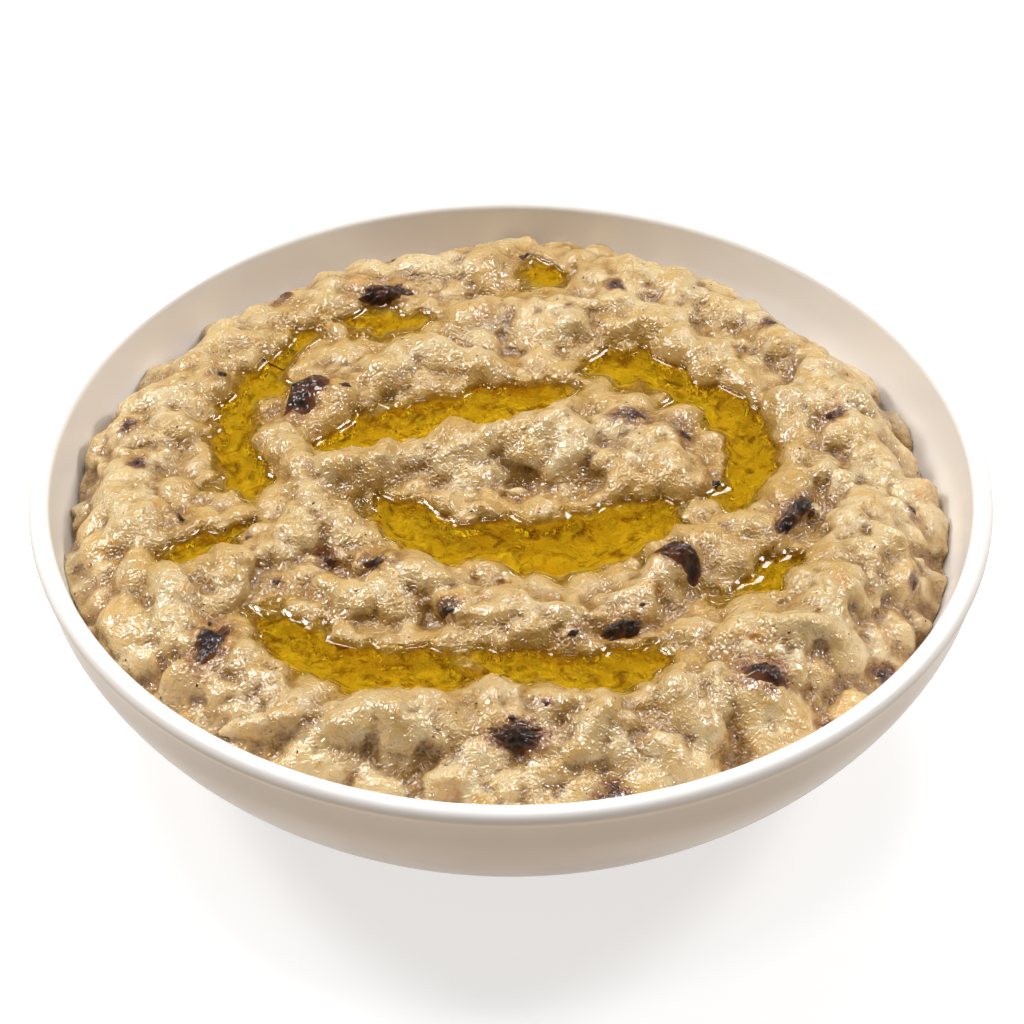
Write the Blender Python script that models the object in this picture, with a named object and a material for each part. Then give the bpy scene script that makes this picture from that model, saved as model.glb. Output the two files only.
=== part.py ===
"""A low stoneware bowl filled with baba ganoush: a lumpy aubergine dip folded into curved ridges,
with olive oil standing in the grooves and scraps of charred skin pressed into the top.

Units are metres, +Z is up, and the origin is the middle of the foot ring's underside.
Heights of the food are measured from the plane of the bowl's rim, positive upwards.
"""

import math

import bmesh
import bpy
import numpy as np
from mathutils import Matrix, Vector, noise
from mathutils.geometry import delaunay_2d_cdt

MM = 0.001

# The bowl
BOWL_HEIGHT = 48 * MM
LIP_RADIUS = 83.2 * MM          # to the middle of the rolled lip
LIP_HALF_THICKNESS = 1.9 * MM
WALL_TOP_RADIUS = 84.1 * MM     # outside of the wall, just under the lip
WALL_TOP_DROP = 5.5 * MM        # from the rim plane down to where the wall's curve starts
WALL_THICKNESS = 3.3 * MM
WALL_POWERS = (1.6, 1.5)        # superellipse powers of the wall's curve, across and down
BELLY_RADIUS = 43 * MM          # where the wall's curve runs out flat above the foot
BELLY_HEIGHT = 4 * MM
FLOOR_HEIGHT = 7.6 * MM         # inside floor of the bowl
FOOT_RADII = (37.5 * MM, 41.5 * MM)
FOOT_RECESS = 2.4 * MM
TURN_STEPS = 48
WALL_STEPS = 7

# The dip
GAP = 0.3 * MM                  # left between touching pieces
FILL_LEVEL = -7 * MM          # level between the ridges
SHOULDER_RADIUS = 60 * MM       # where the dip starts to round down to the wall
SHOULDER_DROP = 3.5 * MM        # how far it has come down at the wall
RIDGE_FOOT = -14 * MM
RELIEF_SPACING = 4.7 * MM
BLEND = 0.6 * MM                # how softly ridges run into each other
LUMPS = ((10.5 * MM, 5 * MM), (7.5 * MM, 2.5 * MM))   # spacing and height of the lumps

# The oil
OIL_DEPTH = 1.9 * MM
BANK_SLOPE = 1.1                # rise over run of the groove's sides
BANK_LEAST = 0.4 * MM           # how far the dip stands over the oil all round it

# Ridges of the dip: crest height, half width, and the crest's line in millimetres from the middle.
RIDGES = {
    "finger": (1.5, 7.5, [(-43, 3), (-40, 12), (-36, 23), (-29, 31), (-20, 35), (-9, 35.5), (2, 33), (11, 29)]),
    "back_fold": (0.5, 6.5, [(-20, 42), (-11, 48), (0, 52), (9, 50), (13, 44)]),
    "back_slab": (0.5, 6.5, [(12, 49), (16, 54), (24, 48), (31, 42), (38, 37), (44, 27), (48, 17)]),
    "right_arm": (0.2, 6.0, [(50, 23), (52, 14), (51, 4), (47, -5), (42, -14), (36, -21)]),
    "middle": (1.0, 7.0, [(-38, -1), (-29, 5), (-20, 11), (-9, 11), (1, 15), (8, 17)]),
    "middle_lobe": (0.5, 7.5, [(6, 15), (15, 9), (23, 2), (28, -4)]),
    "inner_back": (-0.6, 4.5, [(10, 25), (20, 23), (28, 19), (34, 15)]),
    "inner_right": (-0.4, 5.0, [(18, 17), (25, 13), (32, 8), (34, 0), (34, -9)]),
    "inner_front": (0.0, 6.5, [(-33, -6), (-26, -14), (-20, -21), (-12, -26), (-3, -30), (8, -34),
                               (17, -32), (25, -27), (31, -20), (34, -12)]),
    "left_lobe": (0.3, 7.0, [(-33, -6), (-41, -13), (-49, -18), (-54, -26)]),
    "front_lobe": (-1.0, 6.0, [(-36, -20), (-30, -26), (-24, -30)]),
}
RING = (-1.4, 11.0, [(-66, 20), (-69, 2), (-65, -15), (-56, -32), (-44, -46), (-30, -54), (-15, -57),
                     (0, -54), (12, -57), (26, -52), (38, -44), (50, -33), (59, -17), (64, 0), (63, 17),
                     (57, 34), (46, 48), (31, 60), (13, 68), (-6, 69), (-23, 64), (-38, 57), (-50, 46),
                     (-60, 34)])

# Oil pools: level, then the middle line as (x, y, half width), all in millimetres.
POOLS = {
    "oil_centre": (-5.5, [(-21, -3, 3.5), (-14, -10, 5.5), (-4, -13.5, 7), (8, -13.5, 7.5), (20, -9, 6),
                          (28, -4, 3)]),
    "oil_upper": (-5.0, [(-33, 14, 3), (-22, 19, 5), (-10, 23, 5), (0, 26, 4.5), (9, 29, 3)]),
    "oil_right": (-5.0, [(15, 37, 3), (24, 36.5, 4), (32, 31.5, 4), (39, 23.5, 4.5), (43, 14.5, 4),
                         (42.5, 5.5, 3.5), (39, -3.5, 2.5)]),
    "oil_left": (-5.0, [(-37, 47.5, 1.5), (-42, 39.5, 2), (-47, 31.5, 3), (-50, 23.5, 3), (-50, 13.5, 3),
                        (-48, 5.5, 3.5), (-44, 0.5, 2.5)]),
    "oil_front": (-5.5, [(-41, -33, 2.5), (-35, -40, 4.5), (-26, -44.5, 5), (-15, -46, 5.5), (-4, -43.5, 3.5),
                         (8, -45, 3.5), (17, -46, 4.5), (24, -42, 3)]),
    "oil_back": (-4.5, [(4, 68, 2.5), (7, 63, 3)]),
    "oil_back_left": (-4.5, [(-30, 50, 1.8), (-22, 50, 2.5), (-15, 51, 1.8)]),
    "oil_west": (-5.0, [(-59, -17, 2.2), (-53, -13, 3), (-46, -6, 1.8)]),
    "oil_east": (-5.0, [(40, -26, 1.8), (44.5, -22.5, 2.5), (49, -17, 2)]),
}

# Charred skin: x, y, length, width in millimetres, and the turn of its length in degrees.
CHARS = {
    "char_finger": (-38, 25, 12, 7, 50),
    "char_back": (-24, 56, 10, 4, 20),
    "char_left": (-51, -40, 11, 5, 75),
    "char_front": (1, -62, 8, 6, -35),
    "char_front_right": (43, -48, 8, 5.5, -15),
    "char_right": (50, -8, 12, 5, 65),
    "char_groove": (19, -36, 8, 4, 25),
    "char_inner": (29, -21, 9, 4.5, -30),
}
CHAR_THICKNESS = 2.2 * MM


def material(name, colour, roughness, transmission=0.0):
    made = bpy.data.materials.new(name)
    made.use_nodes = True
    shader = made.node_tree.nodes["Principled BSDF"]
    shader.inputs["Base Color"].default_value = (*colour, 1.0)
    shader.inputs["Roughness"].default_value = roughness
    shader.inputs["Metallic"].default_value = 0.0
    shader.inputs["Transmission Weight"].default_value = transmission
    return made


def add_object(name, mesh, finish, parent=None):
    made = bpy.data.objects.new(name, mesh)
    mesh.materials.append(finish)
    made.parent = parent
    bpy.context.scene.collection.objects.link(made)
    return made


def mesh_of(name, vertices, faces):
    mesh = bpy.data.meshes.new(name)
    mesh.from_pydata([tuple(v) for v in vertices], [], faces)
    shape = bmesh.new()
    shape.from_mesh(mesh)
    bmesh.ops.recalc_face_normals(shape, faces=shape.faces)
    shape.to_mesh(mesh)
    shape.free()
    return mesh


def cut(target, operand, operation="DIFFERENCE"):
    """Applies a Boolean to target with operand, which then goes away."""
    boolean = target.modifiers.new("cut", "BOOLEAN")
    boolean.operation = operation
    boolean.object = operand
    bpy.context.view_layer.update()
    result = bpy.data.meshes.new_from_object(target.evaluated_get(bpy.context.evaluated_depsgraph_get()))
    target.modifiers.clear()
    target.data = result
    bpy.data.objects.remove(operand)


# ---------------------------------------------------------------- paths and relief


def smooth_path(points, steps=6, closed=False):
    """A Catmull-Rom curve through points of any dimension, as an array."""
    points = np.array(points, float)
    if closed:
        padded = np.vstack([points[-1], points, points[:2]])
    else:
        padded = np.vstack([2 * points[0] - points[1], points, 2 * points[-1] - points[-2]])
    curve = []
    for a, b, c, d in zip(padded, padded[1:], padded[2:], padded[3:]):
        for t in np.arange(steps) / steps:
            curve.append(0.5 * (2 * b + (c - a) * t + (2 * a - 5 * b + 4 * c - d) * t**2
                                + (3 * b - a - 3 * c + d) * t**3))
    curve.append(padded[-2])
    return np.array(curve)


def nearest_on_path(x, y, path):
    """Distance to the path, and the share of the way along it, for arrays x and y."""
    best = np.full(x.shape, np.inf)
    along = np.zeros(x.shape)
    for i, (a, b) in enumerate(zip(path[:-1, :2], path[1:, :2])):
        run = b - a
        t = np.clip(((x - a[0]) * run[0] + (y - a[1]) * run[1]) / max(run @ run, 1e-18), 0, 1)
        distance = np.hypot(x - a[0] - t * run[0], y - a[1] - t * run[1])
        closer = distance < best
        best = np.where(closer, distance, best)
        along = np.where(closer, i + t, along)
    return best, along


def ridge_height(x, y, ridge, closed=False):
    """Height of one rounded ridge, falling away from its crest line to RIDGE_FOOT."""
    crest, half_width, points = ridge
    path = smooth_path(points, closed=closed) * MM
    distance, _ = nearest_on_path(x, y, path)
    return RIDGE_FOOT + (crest * MM - RIDGE_FOOT) * np.exp(-(distance / (half_width * MM)) ** 2.4)


def pool_banks(x, y, pool):
    """Lowest and highest that the dip may stand beside a pool, so that it lies in an open groove."""
    level, line = pool
    path = smooth_path(line) * MM
    distance, along = nearest_on_path(x, y, path)
    beyond = distance - np.interp(along, np.arange(len(path)), path[:, 2])
    lowest = level * MM + BANK_LEAST - 0.4 * np.clip(beyond - 2 * MM, 0, None)
    return lowest, level * MM + BANK_LEAST + BANK_SLOPE * beyond


def lumps(x, y):
    """Rounded lumps of mashed flesh, from the distance to scattered cell centres."""
    total = np.zeros(len(x))
    for spacing, height in LUMPS:
        nearest = [noise.voronoi(Vector((px, py, spacing)) / spacing)[0][0] for px, py in zip(x, y)]
        total += height * (0.25 - np.array(nearest) ** 2)
    return total


def relief(x, y):
    """Height of the dip's top above the rim plane, for arrays x and y."""
    wall = WALL_TOP_RADIUS - 2 * WALL_THICKNESS
    share = np.clip((np.hypot(x, y) - SHOULDER_RADIUS) / (wall - SHOULDER_RADIUS), 0, None)
    shoulder = SHOULDER_DROP * share**3
    layers = [FILL_LEVEL - shoulder, ridge_height(x, y, RING, closed=True)]
    layers += [ridge_height(x, y, ridge) for ridge in RIDGES.values()]
    layers = np.array(layers) - shoulder
    height = BLEND * np.log(np.exp(layers / BLEND).sum(axis=0)) + lumps(x, y)
    for pool in POOLS.values():
        lowest, highest = pool_banks(x, y, pool)
        height = BLEND * np.log(np.exp(height / BLEND) + np.exp(lowest / BLEND))
        height = -BLEND * np.log(np.exp(-height / BLEND) + np.exp(-highest / BLEND))
    return height


# ---------------------------------------------------------------- the bowl


def wall_curve():
    """Outside of the wall from under the lip down to the belly, as (radius, height) pairs."""
    across, down = WALL_POWERS
    curve = []
    for turn in np.linspace(0, math.pi / 2, WALL_STEPS + 1):
        radius = BELLY_RADIUS + (WALL_TOP_RADIUS - BELLY_RADIUS) * max(math.cos(turn), 0) ** (2 / across)
        top = BOWL_HEIGHT - WALL_TOP_DROP
        height = top - (top - BELLY_HEIGHT) * math.sin(turn) ** (2 / down)
        curve.append((radius, height))
    return curve


def inner_curve(thickness):
    """The wall's curve moved in by thickness, down to where it meets the bowl's floor."""
    outer = np.array(wall_curve())
    slope = np.gradient(outer, axis=0)
    inward = np.column_stack([slope[:, 1], -slope[:, 0]])
    inward /= np.linalg.norm(inward, axis=1)[:, None]
    moved = outer + inward * thickness
    floor = FLOOR_HEIGHT + thickness - WALL_THICKNESS
    kept = [tuple(p) for p in moved if p[1] > floor + 1 * MM]
    return kept + [(kept[-1][0] - 9 * MM, floor)]


def revolve(name, profile, finish, parent=None):
    """A closed solid turned from a profile that runs from the axis, outside, back to the axis."""
    vertices, faces = [], []
    rings = []
    for radius, height in profile:
        if radius < 1e-9:
            rings.append([len(vertices)])
            vertices.append((0, 0, height))
            continue
        ring = []
        for i in range(TURN_STEPS):
            angle = 2 * math.pi * i / TURN_STEPS
            ring.append(len(vertices))
            vertices.append((radius * math.cos(angle), radius * math.sin(angle), height))
        rings.append(ring)
    for a, b in zip(rings, rings[1:]):
        for i in range(TURN_STEPS):
            j = (i + 1) % TURN_STEPS
            corners = [a[i % len(a)], a[j % len(a)], b[j % len(b)], b[i % len(b)]]
            faces.append(list(dict.fromkeys(corners)))
    made = add_object(name, mesh_of(name, vertices, faces), finish, parent)
    made.data.shade_smooth()
    made.data.set_sharp_from_angle(angle=math.radians(40))
    return made


def lip_arc(steps=5):
    """The rolled lip, from its outside over the crest to its inside."""
    centre = (LIP_RADIUS, BOWL_HEIGHT - LIP_HALF_THICKNESS)
    arc = []
    for turn in np.linspace(math.radians(-40), math.radians(190), steps + 1):
        arc.append((centre[0] + LIP_HALF_THICKNESS * math.cos(turn),
                    centre[1] + LIP_HALF_THICKNESS * math.sin(turn)))
    return arc


def make_bowl(finish, parent):
    inner_foot, outer_foot = FOOT_RADII
    underside = [(0, FOOT_RECESS), (inner_foot - 1 * MM, FOOT_RECESS), (inner_foot, 0), (outer_foot, 0)]
    outside = list(reversed(wall_curve()))
    inside = inner_curve(WALL_THICKNESS)
    profile = underside + outside + lip_arc() + inside + [(0, FLOOR_HEIGHT)]
    return revolve("bowl", profile, finish, parent)


# ---------------------------------------------------------------- the dip and what lies in it


def relief_block(name, finish):
    """A round block whose top is the relief, reaching down past the bowl's floor."""
    reach = LIP_RADIUS + 2 * MM
    rows = int(reach / RELIEF_SPACING) + 2
    points = []
    for row in range(-rows, rows + 1):
        for column in range(-rows, rows + 1):
            x = (column + 0.5 * (row % 2)) * RELIEF_SPACING
            y = row * RELIEF_SPACING * math.sqrt(0.75)
            if math.hypot(x, y) < reach - 0.6 * RELIEF_SPACING:
                points.append(Vector((x, y)))
    border = len(points)
    border_steps = int(2 * math.pi * reach / (1.5 * RELIEF_SPACING))
    for i in range(border_steps):
        angle = 2 * math.pi * i / border_steps
        points.append(Vector((reach * math.cos(angle), reach * math.sin(angle))))
    plan, _, triangles, *_ = delaunay_2d_cdt(points, [], [], 0, 1e-7)
    x = np.array([p.x for p in plan])
    y = np.array([p.y for p in plan])
    z = BOWL_HEIGHT + relief(x, y)
    vertices = list(zip(x, y, z))
    faces = [list(t) for t in triangles]
    base = len(vertices)
    vertices += [(x[border + i], y[border + i], FLOOR_HEIGHT - 2 * MM) for i in range(border_steps)]
    for i in range(border_steps):
        j = (i + 1) % border_steps
        faces.append([border + i, border + j, base + j, base + i])
    faces.append([base + i for i in range(border_steps)])
    return add_object(name, mesh_of(name, vertices, faces), finish)


def fill_volume():
    """The room inside the bowl, less the gap, carried up past the rim."""
    curve = inner_curve(WALL_THICKNESS + GAP)
    top = (curve[0][0] + 3 * MM, BOWL_HEIGHT + 20 * MM)
    profile = [(0, top[1]), top, *curve, (0, FLOOR_HEIGHT + GAP)]
    return revolve("fill_volume", profile, bpy.data.materials["dip"])


def trough(name, pool, finish, grow=0.0, rise=0.0, parent=None):
    """A pool of oil: a flat-topped trough along its middle line. Grown and raised, it cuts its own bed."""
    level, line = pool
    path = smooth_path(line, steps=2) * MM
    run = np.gradient(path[:, :2], axis=0)
    run /= np.linalg.norm(run, axis=1)[:, None]
    cap = path[0, 2] * run[0], path[-1, 2] * run[-1]
    ends = np.array([[*(path[0, :2] - cap[0] * 0.7), path[0, 2] * 0.6],
                     [*(path[-1, :2] + cap[1] * 0.7), path[-1, 2] * 0.6]])
    path = np.vstack([ends[:1], path, ends[1:]])
    run = np.vstack([run[:1], run, run[-1:]])
    side = np.column_stack([-run[:, 1], run[:, 0]])
    surface = BOWL_HEIGHT + level * MM
    sections = []
    for (x, y, half_width), across in zip(path, side):
        deep = OIL_DEPTH * min(1.0, half_width / (4 * MM))
        rows = [(half_width + grow + 0.25 * rise, rise),
                (half_width + grow, 0.0),
                (0.45 * half_width + grow, -deep - grow)]
        if rise == 0.0:
            rows = rows[1:]
        section = [(x + across[0] * w, y + across[1] * w, surface + h) for w, h in rows]
        section += [(x - across[0] * w, y - across[1] * w, surface + h) for w, h in reversed(rows)]
        sections.append(section)
    for end, step in ((0, -1), (-1, 1)):  # grow lengthways too
        shift = step * grow * run[end]
        sections[end] = [(x + shift[0], y + shift[1], z) for x, y, z in sections[end]]
    size = len(sections[0])
    vertices = [v for section in sections for v in section]
    faces = [list(range(size)), [len(vertices) - size + i for i in range(size)]]
    for s in range(len(sections) - 1):
        for i in range(size):
            j = (i + 1) % size
            a, b = s * size, (s + 1) * size
            faces.append([a + i, a + j, b + j, b + i])
    return add_object(name, mesh_of(name, vertices, faces), finish, parent)


def flake(name, char, finish, grow=0.0, parent=None):
    """A scrap of charred skin: a flattened, uneven pebble pressed into the dip's top."""
    x, y, length, width, turn = (v * MM for v in char[:4] + (char[4] / MM,))
    spot = np.array([x, x + 1 * MM, x - 1 * MM, x, x]), np.array([y, y, y, y + 1 * MM, y - 1 * MM])
    heights = relief(*spot)
    normal = Vector((heights[2] - heights[1], heights[4] - heights[3], 2 * MM)).normalized()
    along = Vector((math.cos(math.radians(turn)), math.sin(math.radians(turn)), 0))
    across = normal.cross(along).normalized()
    along = across.cross(normal)
    frame = Matrix((along, across, normal)).transposed().to_4x4()
    frame.translation = Vector((x, y, BOWL_HEIGHT + heights[0]))
    shape = bmesh.new()
    bmesh.ops.create_icosphere(shape, subdivisions=2, radius=1.0)
    for vertex in shape.verts:
        uneven = 1 + 0.22 * noise.noise(vertex.co * 1.7 + Vector((length, width, 0)) / MM)
        half = Vector((length, width, CHAR_THICKNESS)) / 2
        vertex.co = Vector(vertex.co[i] * (half[i] * uneven + grow) for i in range(3))
    shape.transform(frame)
    mesh = bpy.data.meshes.new(name)
    shape.to_mesh(mesh)
    shape.free()
    return add_object(name, mesh, finish, parent)


def make_dip(finish, parent):
    dip = relief_block("dip", finish)
    cut(dip, fill_volume(), "INTERSECT")
    for name, pool in POOLS.items():
        cut(dip, trough("bed_" + name, pool, finish, grow=GAP, rise=8 * MM))
    for name, char in CHARS.items():
        cut(dip, flake("bed_" + name, char, finish, grow=GAP))
    dip.parent = parent
    dip.data.shade_smooth()
    return dip


def main():
    for existing in list(bpy.data.objects):
        bpy.data.objects.remove(existing)
    serving = bpy.data.objects.new("serving", None)
    bpy.context.scene.collection.objects.link(serving)
    glaze = material("glaze", (0.86, 0.80, 0.72), 0.2)
    mash = material("dip", (0.62, 0.50, 0.28), 0.35)
    oil = material("oil", (0.55, 0.42, 0.03), 0.03, transmission=0.8)
    charred = material("charred_skin", (0.05, 0.03, 0.02), 0.4)
    make_bowl(glaze, serving)
    make_dip(mash, serving)
    for name, pool in POOLS.items():
        trough(name, pool, oil, parent=serving)
    for name, char in CHARS.items():
        flake(name, char, charred, parent=serving)


main()
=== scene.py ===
"""Looks of the baba ganoush and its bowl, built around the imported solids.

Metres throughout, +Z up. The lumpy dip is modelled over the solid dip's relief, oil fills its hollows
up to the level of the solid pools, and charred skin is laid on it where the solid scraps are.
"""

import math

import bmesh
import bpy
import numpy as np
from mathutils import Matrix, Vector, noise
from mathutils.bvhtree import BVHTree


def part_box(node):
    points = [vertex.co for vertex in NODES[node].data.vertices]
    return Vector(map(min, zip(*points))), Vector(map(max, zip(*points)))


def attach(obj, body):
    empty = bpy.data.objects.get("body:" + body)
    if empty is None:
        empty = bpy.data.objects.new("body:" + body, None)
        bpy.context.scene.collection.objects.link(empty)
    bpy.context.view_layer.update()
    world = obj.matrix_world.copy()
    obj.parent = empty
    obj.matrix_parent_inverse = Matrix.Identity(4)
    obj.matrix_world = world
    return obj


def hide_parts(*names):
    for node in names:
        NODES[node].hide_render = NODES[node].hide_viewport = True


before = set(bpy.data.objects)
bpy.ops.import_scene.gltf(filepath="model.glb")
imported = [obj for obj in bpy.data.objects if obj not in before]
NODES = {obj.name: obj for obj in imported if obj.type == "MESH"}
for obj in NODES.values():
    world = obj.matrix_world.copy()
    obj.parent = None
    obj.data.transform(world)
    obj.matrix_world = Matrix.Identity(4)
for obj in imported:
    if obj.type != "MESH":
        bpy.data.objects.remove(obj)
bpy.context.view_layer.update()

MM = 0.001
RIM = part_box("bowl")[1].z
POOLS = sorted(n for n in NODES if n.startswith("oil_"))
CHARS = sorted(n for n in NODES if n.startswith("char_"))

# The grid on which heights are worked out
STEP = 0.5 * MM
HALF = 86 * MM
AXIS = np.arange(-HALF, HALF + STEP / 2, STEP)
GX, GY = np.meshgrid(AXIS, AXIS, indexing="ij")

# The dip's mesh
VOXEL = 0.73 * MM
CUT = RIM - 16 * MM             # the fine mesh ends here, under the line where the dip meets the wall
WALL_GAP = 0.15 * MM

# Both seeds are fixed, so each run gives the same shapes
random = np.random.default_rng(5)
noise.seed_set(5)


# ---------------------------------------------------------------- small tools


def build(name, vertices, faces, smooth=True):
    """An object from arrays: vertices (n, 3) and faces (m, 3) or (m, 4)."""
    vertices = np.asarray(vertices, np.float32)
    faces = np.asarray(faces, np.int32)
    mesh = bpy.data.meshes.new(name)
    mesh.vertices.add(len(vertices))
    mesh.vertices.foreach_set("co", vertices.ravel())
    mesh.loops.add(faces.size)
    mesh.loops.foreach_set("vertex_index", faces.ravel())
    mesh.polygons.add(len(faces))
    mesh.polygons.foreach_set("loop_start", np.arange(len(faces), dtype=np.int32) * faces.shape[1])
    mesh.update(calc_edges=True)
    mesh.validate()
    if smooth:
        mesh.shade_smooth()
    made = bpy.data.objects.new(name, mesh)
    bpy.context.scene.collection.objects.link(made)
    return made


def sheet_faces(index, kept):
    """Quads between the kept points of a grid, whose points are numbered by index."""
    corners = np.stack([index[:-1, :-1], index[1:, :-1], index[1:, 1:], index[:-1, 1:]], axis=-1)
    return corners[kept[:-1, :-1] & kept[1:, :-1] & kept[:-1, 1:] & kept[1:, 1:]]


def slab_faces(corners, count):
    """The quads of a sheet, the same quads on its underside, numbered count higher, and the sides between."""
    edges = np.vstack([corners[:, [k, (k + 1) % 4]] for k in range(4)]).tolist()
    known = set(map(tuple, edges))
    border = np.array([e for e in edges if (e[1], e[0]) not in known])
    sides = np.column_stack([border[:, 1], border[:, 0], border[:, 0] + count, border[:, 1] + count])
    return np.vstack([corners, corners[:, ::-1] + count, sides])


def as_triangles(quads):
    return np.vstack([quads[:, [0, 1, 2]], quads[:, [0, 2, 3]]])


def dress(piece, finish, slot, *replaced):
    """Gives a finished piece its material and its body, and hides the solid parts it replaces."""
    piece.data.materials.clear()
    piece.data.materials.append(finish)
    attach(piece, "root")
    if replaced:
        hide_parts(*replaced)
    return piece


def coordinates(mesh):
    found = np.empty(len(mesh.vertices) * 3, np.float32)
    mesh.vertices.foreach_get("co", found)
    return found.reshape(-1, 3).astype(float)


def triangles(mesh):
    mesh.calc_loop_triangles()
    found = np.empty(len(mesh.loop_triangles) * 3, np.int32)
    mesh.loop_triangles.foreach_get("vertices", found)
    return found.reshape(-1, 3)


def tree_of(*meshes):
    """One BVH tree over several meshes."""
    points, faces, base = [], [], 0
    for mesh in meshes:
        points.append(coordinates(mesh))
        faces.append(triangles(mesh) + base)
        base += len(mesh.vertices)
    return BVHTree.FromPolygons(np.vstack(points).tolist(), np.vstack(faces).tolist())


def cast_down(tree, x, y):
    """Height of the first surface met from above at each x and y, or nan."""
    down = Vector((0, 0, -1))
    top = RIM + 30 * MM
    heights = np.full(x.shape, np.nan)
    flat = heights.ravel()
    for i, (px, py) in enumerate(zip(x.ravel(), y.ravel())):
        hit = tree.ray_cast(Vector((px, py, top)), down)[0]
        if hit is not None:
            flat[i] = hit.z
    return heights


def blur(values, sigma):
    """Gaussian blur of a grid of values, sigma in metres."""
    sigma = sigma / STEP
    reach = int(3 * sigma) + 1
    weights = np.exp(-0.5 * (np.arange(-reach, reach + 1) / sigma) ** 2)
    weights /= weights.sum()
    for axis in (0, 1):
        total = np.zeros_like(values)
        for shift, weight in zip(range(-reach, reach + 1), weights):
            total += weight * np.roll(values, shift, axis)
        values = total
    return values


def fill_gaps(values):
    """Carries a grid's values outwards into its nan cells."""
    values = values.copy()
    for _ in range(400):
        empty = np.isnan(values)
        if not empty.any():
            break
        shifted = [np.roll(values, s, a) for s, a in ((1, 0), (-1, 0), (1, 1), (-1, 1))]
        known = ~np.isnan(shifted)
        count = known.sum(axis=0)
        total = np.nansum(shifted, axis=0)
        grown = empty & (count > 0)
        values[grown] = total[grown] / count[grown]
    return values


def distance_from(mask):
    """Distance in metres from each cell to the nearest cell of the mask."""
    rows = len(mask)
    straight = np.where(mask, 0.0, 1e6)
    for i in range(1, rows):
        straight[i] = np.minimum(straight[i], straight[i - 1] + 1)
    for i in range(rows - 2, -1, -1):
        straight[i] = np.minimum(straight[i], straight[i + 1] + 1)
    apart = (np.arange(rows)[:, None] - np.arange(rows)[None, :]) ** 2
    squared = np.array([(row[None, :] ** 2 + apart).min(axis=1) for row in straight])
    return np.sqrt(squared) * STEP


def sample(grid, x, y):
    """Values of a grid between its cells."""
    u = np.clip((x + HALF) / STEP, 0, len(AXIS) - 1.001)
    v = np.clip((y + HALF) / STEP, 0, len(AXIS) - 1.001)
    i, j = u.astype(int), v.astype(int)
    s, t = u - i, v - j
    near = grid[i, j] * (1 - t) + grid[i, j + 1] * t
    far = grid[i + 1, j] * (1 - t) + grid[i + 1, j + 1] * t
    return near * (1 - s) + far * s


def ramp(value, low, high):
    """Smooth step from 0 at low to 1 at high."""
    t = np.clip((value - low) / (high - low), 0, 1)
    return t * t * (3 - 2 * t)


# ---------------------------------------------------------------- the solids' profile and relief


def spoke(node):
    """The turned solid's outline at angle 0, from the axis underneath to the axis inside."""
    points = coordinates(node.data)
    keys = [(round(float(x), 6), round(float(z), 6)) if abs(y) < MM / 100 and x > 0 else None
            for x, y, z in points]
    links = {}
    for edge in node.data.edges:
        a, b = (keys[v] for v in edge.vertices)
        if a is not None and b is not None and a != b:
            links.setdefault(a, set()).add(b)
            links.setdefault(b, set()).add(a)
    outline = [min((k for k in links if len(links[k]) == 1), key=lambda k: k[1])]
    while len(outline) < len(links):
        outline += [k for k in links[outline[-1]] if k not in outline][:1]
    return np.array([(0, outline[0][1]), *outline, (0, outline[-1][1])])


BOWL_OUTLINE = spoke(NODES["bowl"])
CREST = int(np.argmax(BOWL_OUTLINE[:, 1]))
INSIDE = BOWL_OUTLINE[CREST:][::-1]
CAVITY_FLOOR = INSIDE[0, 1]


def wall_radius(z):
    """Radius of the bowl's inner wall at a height."""
    return np.interp(z, INSIDE[:, 1], INSIDE[:, 0])


def read_relief():
    """Height of the solid dip under its scraps, and each pool's level, cells and distance from it.

    Round a pool the ground rises from the oil in a low bank, and inside it drops to a bed.
    """
    solid = cast_down(tree_of(NODES["dip"].data, *(NODES[c].data for c in CHARS)), GX, GY)
    ground = blur(fill_gaps(solid), 1.1 * MM)
    pools = {}
    for name in POOLS:
        low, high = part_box(name)
        cells = (GX >= low.x) & (GX <= high.x) & (GY >= low.y) & (GY <= high.y)
        mask = np.zeros(GX.shape, bool)
        mask[cells] = ~np.isnan(cast_down(tree_of(NODES[name].data), GX[cells], GY[cells]))
        apart = distance_from(mask)
        inside = distance_from(~mask)
        bank = high.z + 0.9 * MM * ramp(apart, 0, 2.0 * MM) - 0.5 * np.clip(apart - 2.5 * MM, 0, None)
        ground = np.maximum(ground, np.where(mask, -1, bank))
        bed = high.z + 0.5 * MM - 2.6 * MM * ramp(inside, 0, 5.0 * MM)
        ground = np.where(mask, np.minimum(ground, bed), ground)
        pools[name] = (high.z, mask, apart)
    return blur(ground, 0.5 * MM), pools


GROUND, POOL_FACTS = read_relief()
SLOPE_X, SLOPE_Y = np.gradient(blur(GROUND, 2.0 * MM), STEP)
POOL_GAP = np.min([facts[2] for facts in POOL_FACTS.values()], axis=0)
CRESTS = ramp(GROUND - blur(GROUND, 5 * MM), 0.1 * MM, 1.1 * MM)
POOL_DEEP = distance_from(~np.any([facts[1] for facts in POOL_FACTS.values()], axis=0))


# ---------------------------------------------------------------- the dip


def unit_ball(subdivisions):
    shape = bmesh.new()
    bmesh.ops.create_icosphere(shape, subdivisions=subdivisions, radius=1.0)
    points = np.array([v.co[:] for v in shape.verts])
    faces = np.array([[v.index for v in f.verts] for f in shape.faces])
    shape.free()
    return points, faces


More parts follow.
